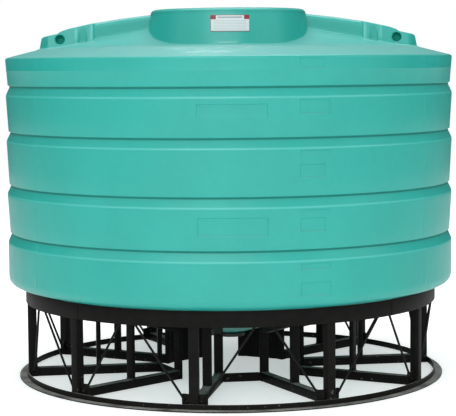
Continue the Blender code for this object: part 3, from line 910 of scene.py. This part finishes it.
def make_lid(material):
    """The screw lid: a dished disc with a ribbed rim, grip bars and a vent cap."""
    bottom = WELL_FLOOR_Z + GAP
    rim, dish = bottom + 0.030, bottom + 0.020
    section = rounded([
        (0.0, bottom, 0.0),
        (0.226, bottom, 0.002),
        (0.230, rim - 0.004, 0.004),
        (0.226, rim, 0.003),
        (0.196, rim, 0.004),
        (0.188, dish, 0.004),
        (0.120, dish, 0.004),
        (0.112, dish + 0.004, 0.003),
        (0.060, dish + 0.006, 0.003),
        (0.052, dish + 0.016, 0.003),
        (0.030, dish + 0.020, 0.010),
        (0.0, dish + 0.020, 0.0),
    ])
    pieces = [lathe("manway_lid_disc", section, 96)]
    grip = [(0.116, dish - 0.002), (0.190, dish - 0.002), (0.190, rim - 0.001), (0.122, dish + 0.006)]
    rib = [(0.224, bottom + 0.001), (0.2318, bottom + 0.001), (0.2318, rim - 0.007), (0.224, rim - 0.003)]
    for name, outline, thickness, count in (("grip_bar", grip, 0.010, 12), ("rim_rib", rib, 0.009, 36)):
        for index in range(count):
            pieces.append(slab(name, outline, thickness, turned(2.0 * math.pi * index / count)))
    lid = join("manway_lid_screwed", pieces)
    round_edges(lid, 0.0012, 2, 50.0)
    complete(lid, material, ["manway_lid"])


def make_bolt(name, radius, place):
    """A hexagon head on its washer, standing on the plane of place, along its X axis."""
    clear_selection()
    bpy.ops.mesh.primitive_cylinder_add(vertices=24, radius=radius * 1.45, depth=radius * 0.28)
    washer = bpy.context.object
    washer.data.transform(moved(0.0, 0.0, radius * 0.14))
    clear_selection()
    bpy.ops.mesh.primitive_cylinder_add(vertices=6, radius=radius, depth=radius * 0.8)
    head = bpy.context.object
    head.data.transform(moved(0.0, 0.0, radius * 0.68))
    edit(head, "FACE")
    pick(head, lambda face: face.normal.z > 0.9)
    bpy.ops.mesh.inset(thickness=radius * 0.14)
    bpy.ops.mesh.extrude_region_move(TRANSFORM_OT_translate={"value": (0.0, 0.0, radius * 0.12)})
    close_edit(head)
    bolt = join(name, [washer, head])
    bolt.data.transform(place @ Matrix.Rotation(math.pi / 2.0, 4, "Y"))
    return bolt


def make_outlet(material):
    """The flanged outlet at the point of the cone, with its ring of bolts."""
    seat = cone_z(OUTLET_HOLE) - GAP
    neck = OUTLET_HOLE - 0.003
    section = rounded([
        (0.030, seat - 0.020, 0.0),
        (0.040, seat - 0.020, 0.0),
        (0.041, seat - 0.0185, 0.0),
        (0.050, seat - 0.0185, 0.0),
        (0.051, seat - 0.020, 0.0),
        (0.085, seat - 0.020, 0.003),
        (0.085, seat, 0.002),
        (neck, seat, 0.0),
        (neck, seat + SKIN + 0.010, 0.002),
        (0.030, seat + SKIN + 0.010, 0.0),
    ])
    pieces = [lathe("outlet_flange", section, 72)]
    down = moved(0.069, 0.0, seat) @ Matrix.Rotation(-math.pi / 2.0, 4, "Y")
    for index in range(8):
        turn = turned(2.0 * math.pi * (index + 0.5) / 8.0)
        pieces.append(make_bolt("flange_bolt", 0.0075, turn @ down))
    complete(join("outlet_flanged", pieces), material, ["drain_outlet"])


def make_hoops(material):
    """The rolled band under the tank and the rolled angle on the floor, with their butt welds."""
    top = cone_z(HOOP_INNER) - CONE_GAP
    edge = 0.0012
    band = rounded([
        (HOOP_INNER, BAND_BOTTOM_Z + 0.02, 0.0),
        (HOOP_INNER, BAND_BOTTOM_Z, edge),
        (HOOP_OUTER, BAND_BOTTOM_Z, edge),
        (HOOP_OUTER, top, edge),
        (HOOP_INNER, top, edge),
        (HOOP_INNER, BAND_BOTTOM_Z + 0.03, 0.0),
    ])
    base = rounded([
        (HOOP_INNER + 0.02, 0.0, 0.0),
        (BASE_OUTER, 0.0, edge),
        (BASE_OUTER, PLATE, edge),
        (HOOP_OUTER, PLATE, 0.004),
        (HOOP_OUTER, BASE_HEIGHT, edge),
        (HOOP_INNER, BASE_HEIGHT, edge),
        (HOOP_INNER, 0.0, edge),
        (HOOP_INNER + 0.01, 0.0, 0.0),
    ])
    for name, nodes, outline, low, high in (
            ("rolled_band", "top_band_", band, BAND_BOTTOM_Z, top),
            ("rolled_base_ring", "base_ring_", base, PLATE, BASE_HEIGHT)):
        pieces = [lathe(name, outline, HOOP_STEPS)]
        for index in range(4):
            angle = FIRST_FRAME + PITCH * 25.0 / 16.0 + index * math.pi / 2.0
            across, along = math.cos(angle) * HOOP_OUTER, math.sin(angle) * HOOP_OUTER
            pieces.append(weld(Vector((across, along, low)), Vector((across, along, high)), 0.0022))
        complete(join(name, pieces), material, [nodes + side for side in SIDES])


def weld(start, end, radius=0.0034):
    """A weld bead: small flattened beads that overlap along a line."""
    run = end - start
    pitch = radius * 1.5
    count = max(2, round(run.length / pitch))
    clear_selection()
    bpy.ops.mesh.primitive_uv_sphere_add(segments=6, ring_count=4, radius=radius)
    bead = bpy.context.object
    modify(bead, "ARRAY", count=count, use_relative_offset=False, use_constant_offset=True,
           constant_offset_displace=(0.0, 0.0, run.length / count))
    turn = run.to_track_quat("Z", "Y").to_matrix().to_4x4()
    bead.data.transform(Matrix.Translation(start + run / (2.0 * count)) @ turn)
    return bead


def tube(name, low, high, along, cuts=()):
    """A square tube with rounded corners along one axis, trimmed by sloping planes."""
    low, high = Vector(low), Vector(high)
    clear_selection()
    bpy.ops.mesh.primitive_cube_add(size=1.0, location=(low + high) / 2.0, scale=high - low)
    bar = settle(bpy.context.object)
    bar.name = name
    edit(bar, "EDGE")
    pick(bar, lambda edge: abs((edge.verts[1].co - edge.verts[0].co).normalized()[along]) > 0.99, "edges")
    bpy.ops.mesh.bevel(offset=TUBE_ROUND, segments=3, affect="EDGES")
    trim(*cuts)
    return close_edit(bar)


def seams(low, high, z, slope):
    """Weld beads round the foot or head of an upright post, on its four sides."""
    (x0, y0), (x1, y1) = low, high
    corners = [Vector((x, y, z + slope * (x - x0))) for x, y in ((x0, y0), (x1, y0), (x1, y1), (x0, y1))]
    return [weld(start, end) for start, end in zip(corners, corners[1:] + corners[:1])]


def make_rafter(inner, outer_inside, up):
    """The sloping tube under the cone, trimmed between the inner and the outer post."""
    reach = Vector((POST_FACE - inner, 0.0, (POST_FACE - inner) * CONE_SLOPE))
    size = Vector((reach.length, TUBE, RAFTER_DEPTH / reach.length * reach.x))
    rafter = tube("rafter", -size / 2.0, size / 2.0, 0)
    middle = Vector((inner, 0.0, cone_z(inner) - CONE_GAP)) + reach / 2.0 - up * (size.z / 2.0)
    rafter.data.transform(moved(*middle) @ Matrix.Rotation(-math.atan(CONE_SLOPE), 4, "Y"))
    edit(rafter, "FACE")
    trim(((INNER_POST + SMALL_POST / 2.0, 0.0, 0.0), (-1.0, 0.0, 0.0)),
         ((outer_inside, 0.0, 0.0), (1.0, 0.0, 0.0)))
    return close_edit(rafter)


def make_frames(material):
    """One radial frame of welded square tubes, copied round the stand."""
    half = TUBE / 2.0
    small = SMALL_POST / 2.0
    inner = INNER_POST - small
    outer_inside = POST_FACE - TUBE
    top = 0.60
    up = Vector((-CONE_SLOPE, 0.0, 1.0)).normalized()
    under_cone = (Vector((inner, 0.0, cone_z(inner) - CONE_GAP)), up)
    rafter_under = (Vector((inner, 0.0, cone_z(inner) - CONE_GAP - RAFTER_DEPTH)), up)
    pieces = [
        tube("outer_post", (outer_inside, -half, 0.0), (POST_FACE, half, top), 2, [under_cone]),
        tube("sill", (INNER_POST + small, -half, 0.0), (outer_inside, half, TUBE), 0),
        tube("inner_post", (inner, -half, 0.0), (INNER_POST + small, half, top), 2, [under_cone]),
        tube("mid_post", (MID_POST - small, -half, TUBE), (MID_POST + small, half, top), 2, [rafter_under]),
        make_rafter(inner, outer_inside, up),
    ]
    low, high = (MID_POST - small, -half), (MID_POST + small, half)
    pieces += seams(low, high, TUBE, 0.0)
    pieces += seams(low, high, cone_z(MID_POST - small) - CONE_GAP - RAFTER_DEPTH, CONE_SLOPE)
    for radius in (INNER_POST + small, outer_inside):
        rafter_top = cone_z(radius) - CONE_GAP
        runs = [((side, start), (side, end)) for side in (-half, half) for start, end in (
            (0.004, TUBE), (rafter_top - RAFTER_DEPTH, rafter_top))]
        runs += [((-half, z), (half, z)) for z in (TUBE, rafter_top - RAFTER_DEPTH)]
        pieces += [weld(Vector((radius, *start)), Vector((radius, *end))) for start, end in runs]
    for side in (-half, half):
        for start, end in ((0.004, BASE_HEIGHT), (BAND_BOTTOM_Z, 0.515)):
            ends = [Vector((POST_FACE - 0.001, side, z)) for z in (start, end)]
            pieces.append(weld(*ends))
    model = join("frame_model", pieces)
    spread(model, "radial_frame_", "_welded", material, FIRST_FRAME)


def plate(name, width, height, corner, place):
    """A flat plate with rounded corners, on the plane across the X axis of place."""
    w, h = width / 2.0, height / 2.0
    outline = rounded([
        (0.0, -h, 0.0), (w, -h, corner), (w, h, corner),
        (-w, h, corner), (-w, -h, corner), (-0.001, -h, 0.0)])
    return slab(name, outline, PLATE, place @ turned(math.pi / 2.0))


def make_ties(material):
    """Flat bars between the inner posts; two at the back are full closing plates."""
    reach = INNER_POST * math.cos(HALF_BAY)
    nearest = (reach - PLATE / 2.0) * math.tan(HALF_BAY)
    half_width = nearest - (TUBE / 2.0 + GAP) / math.cos(HALF_BAY)
    for index in range(5):
        height = cone_z(INNER_POST) - RAFTER_DEPTH if index + 1 in PLATED_TIES else TUBE
        turn = turned(FIRST_FRAME + (2 * index + 0.5) * PITCH)
        middle = turn @ moved(reach, 0.0, height / 2.0)
        pieces = [plate("tie", 2.0 * half_width, height, 0.003, middle)]
        for side in (-1.0, 1.0):
            foot = turn @ Vector((reach + PLATE / 2.0, side * half_width, 0.003))
            pieces.append(weld(foot, foot + Vector((0.0, 0.0, height - 0.006))))
        node = "inner_tie_%d" % (index + 1)
        complete(join(node + "_welded", pieces), material, [node])


def rod(start, end):
    """A round bar with flattened ends."""
    run = end - start
    clear_selection()
    bpy.ops.mesh.primitive_cylinder_add(vertices=16, radius=ROD_RADIUS, depth=run.length)
    bar = bpy.context.object
    edit(bar, "FACE")
    for side in (-1.0, 1.0):
        pick(bar, lambda face: face.normal.z * side > 0.9)
        bpy.ops.mesh.inset(thickness=0.0012)
        bpy.ops.mesh.extrude_region_move(TRANSFORM_OT_translate={"value": (0.0, 0.0, side * 0.0012)})
    close_edit(bar)
    turn = run.to_track_quat("Z", "Y").to_matrix().to_4x4()
    bar.data.transform(Matrix.Translation((start + end) / 2.0) @ turn)
    return bar


def make_braces(material):
    """A pair of rods with bolted foot tabs and a bolted plate, copied into each bay."""
    foot_out = POST_MIDDLE * math.cos(HALF_BAY)
    post_side = (foot_out - PLATE / 2.0) * math.tan(HALF_BAY) - (TUBE / 2.0 + GAP) / math.cos(HALF_BAY)
    apex_out = POST_FACE - PLATE / 2.0
    rod_top = POST_FACE - PLATE - ROD_RADIUS * 0.4
    half_turn = turned(math.pi)
    pieces = [plate("apex", *APEX_PLATE, 0.006, moved(apex_out, 0.0, APEX_Z))]
    for side in (-1.0, 1.0):
        middle = side * (post_side - FOOT_TAB[0] / 2.0)
        pieces.append(plate("foot_tab", *FOOT_TAB, 0.006, moved(foot_out, middle, FOOT_Z)))
        low = Vector((foot_out + PLATE / 2.0 + ROD_RADIUS * 0.4, middle - side * 0.004, FOOT_Z - 0.004))
        pieces.append(rod(low, Vector((rod_top, side * ROD_TOP_SPREAD, APEX_Z))))
        for out, turn in ((PLATE / 2.0, Matrix.Identity(4)), (-PLATE / 2.0, half_turn)):
            at = moved(foot_out + out, middle + side * 0.010, FOOT_Z - 0.016)
            pieces.append(make_bolt("tab_bolt", BRACE_BOLT, at @ turn))
        corner = Vector((foot_out + PLATE / 2.0, side * (post_side - 0.0005), FOOT_Z - FOOT_TAB[1] / 2.0))
        pieces.append(weld(corner, corner + Vector((0.0, 0.0, FOOT_TAB[1])), 0.003))
        back = moved(apex_out - PLATE / 2.0, side * APEX_PLATE[0] * 0.36, APEX_Z - 0.010)
        pieces.append(make_bolt("apex_bolt", BRACE_BOLT * 0.8, back @ half_turn))
    model = join("brace_model", pieces)
    spread(model, "bay_brace_", "_rods", material, FIRST_FRAME + HALF_BAY)


def make_floor():
    """A plain pale floor, which glows a little and looks white further out."""
    clear_selection()
    bpy.ops.mesh.primitive_circle_add(
        vertices=96, radius=14.0, fill_type="NGON", location=(0.0, 0.0, -0.0005))
    floor = bpy.context.object
    floor.name = "studio_floor"
    finish = Finish("pale_floor", Roughness=0.8, Emission_Strength=1.0)
    seen = finish.node("ShaderNodeLightPath")
    share = seen * (0.45 + finish.length(finish.place()).above(2.2, 1.1) * 0.55)
    finish.set(Emission_Color=finish.mix(share, [0.28] * 3, [0.66] * 3))
    shade = finish.noise(2.0, 2.0)
    finish.set(Base_Color=finish.mix(shade, [0.80] * 3, [0.84] * 3))
    floor.data.materials.append(finish.material)


def add_light(name, width, height, azimuth, elevation, distance, power):
    """A soft rectangular light that looks at the tank, from degrees right of the front."""
    turn, tilt = math.radians(azimuth), math.radians(elevation)
    out = Vector((math.sin(turn) * math.cos(tilt), -math.cos(turn) * math.cos(tilt), math.sin(tilt)))
    data = bpy.data.lights.new(name, "AREA")
    data.shape = "RECTANGLE"
    data.size = width
    data.size_y = height
    data.energy = power
    light = bpy.data.objects.new(name, data)
    bpy.context.scene.collection.objects.link(light)
    aim = Matrix.Translation(Vector((0.0, 0.0, LIGHTS_AIM_Z)) + out * distance)
    light.matrix_world = aim @ (-out).to_track_quat("-Z", "Y").to_matrix().to_4x4()
    light.visible_camera = False


def make_surround():
    """A pale surround, brighter in front and overhead than behind, and plain white to the camera."""
    world = bpy.data.worlds.new("studio_surround")
    world.use_nodes = True
    bpy.context.scene.world = world
    graph = Graph(world.node_tree)
    _, depth, height = graph.axes(graph.node("ShaderNodeTexCoord", output="Generated"))
    front = (0.0 - depth).above(0.35, 0.45)
    overhead = height.above(0.45, 0.45)
    light = SURROUND_BACK + front * SURROUND_FRONT + overhead * SURROUND_TOP
    seen = graph.node("ShaderNodeLightPath")
    background = world.node_tree.nodes["Background"]
    graph.feed(background.inputs["Strength"], seen + (1.0 - seen) * light)
    background.inputs["Color"].default_value = (1.0, 1.0, 1.0, 1.0)


def make_studio():
    """A wide key above the front, a low broad fill, one at each side, one overhead, one glint behind."""
    for light in LIGHTS:
        add_light(*light)
    make_surround()


def make_camera():
    """The photograph's viewpoint: level with the shoulder, looking slightly down."""
    data = bpy.data.cameras.new("photo_camera")
    data.sensor_width = 36.0
    data.sensor_fit = "HORIZONTAL"
    data.lens = CAMERA_LENS
    camera = bpy.data.objects.new("photo_camera", data)
    bpy.context.scene.collection.objects.link(camera)
    tilt = Matrix.Rotation(math.radians(90.0 - CAMERA_DOWN), 4, "X")
    camera.matrix_world = moved(*CAMERA_PLACE) @ tilt @ turned(math.radians(CAMERA_ROLL))
    bpy.context.scene.camera = camera


def main():
    """Build every piece of the tank and its stand, then the studio."""
    teal = tank_finish()
    black = stand_finish("black_stand_paint", STAND_BLACK)
    rods = stand_finish("black_rod_paint", ROD_BLACK, 0.1)
    make_moulding(teal)
    make_lugs(teal)
    make_placard(placard_finish())
    make_lid(black_plastic_finish("black_lid_plastic", 0.018, 0.38))
    make_outlet(black_plastic_finish("black_outlet_plastic", 0.016, 0.30))
    make_hoops(black)
    make_frames(black)
    make_ties(black)
    make_braces(rods)
    make_floor()
    make_studio()
    make_camera()
    bpy.context.scene.view_settings.view_transform = "Standard"


main()
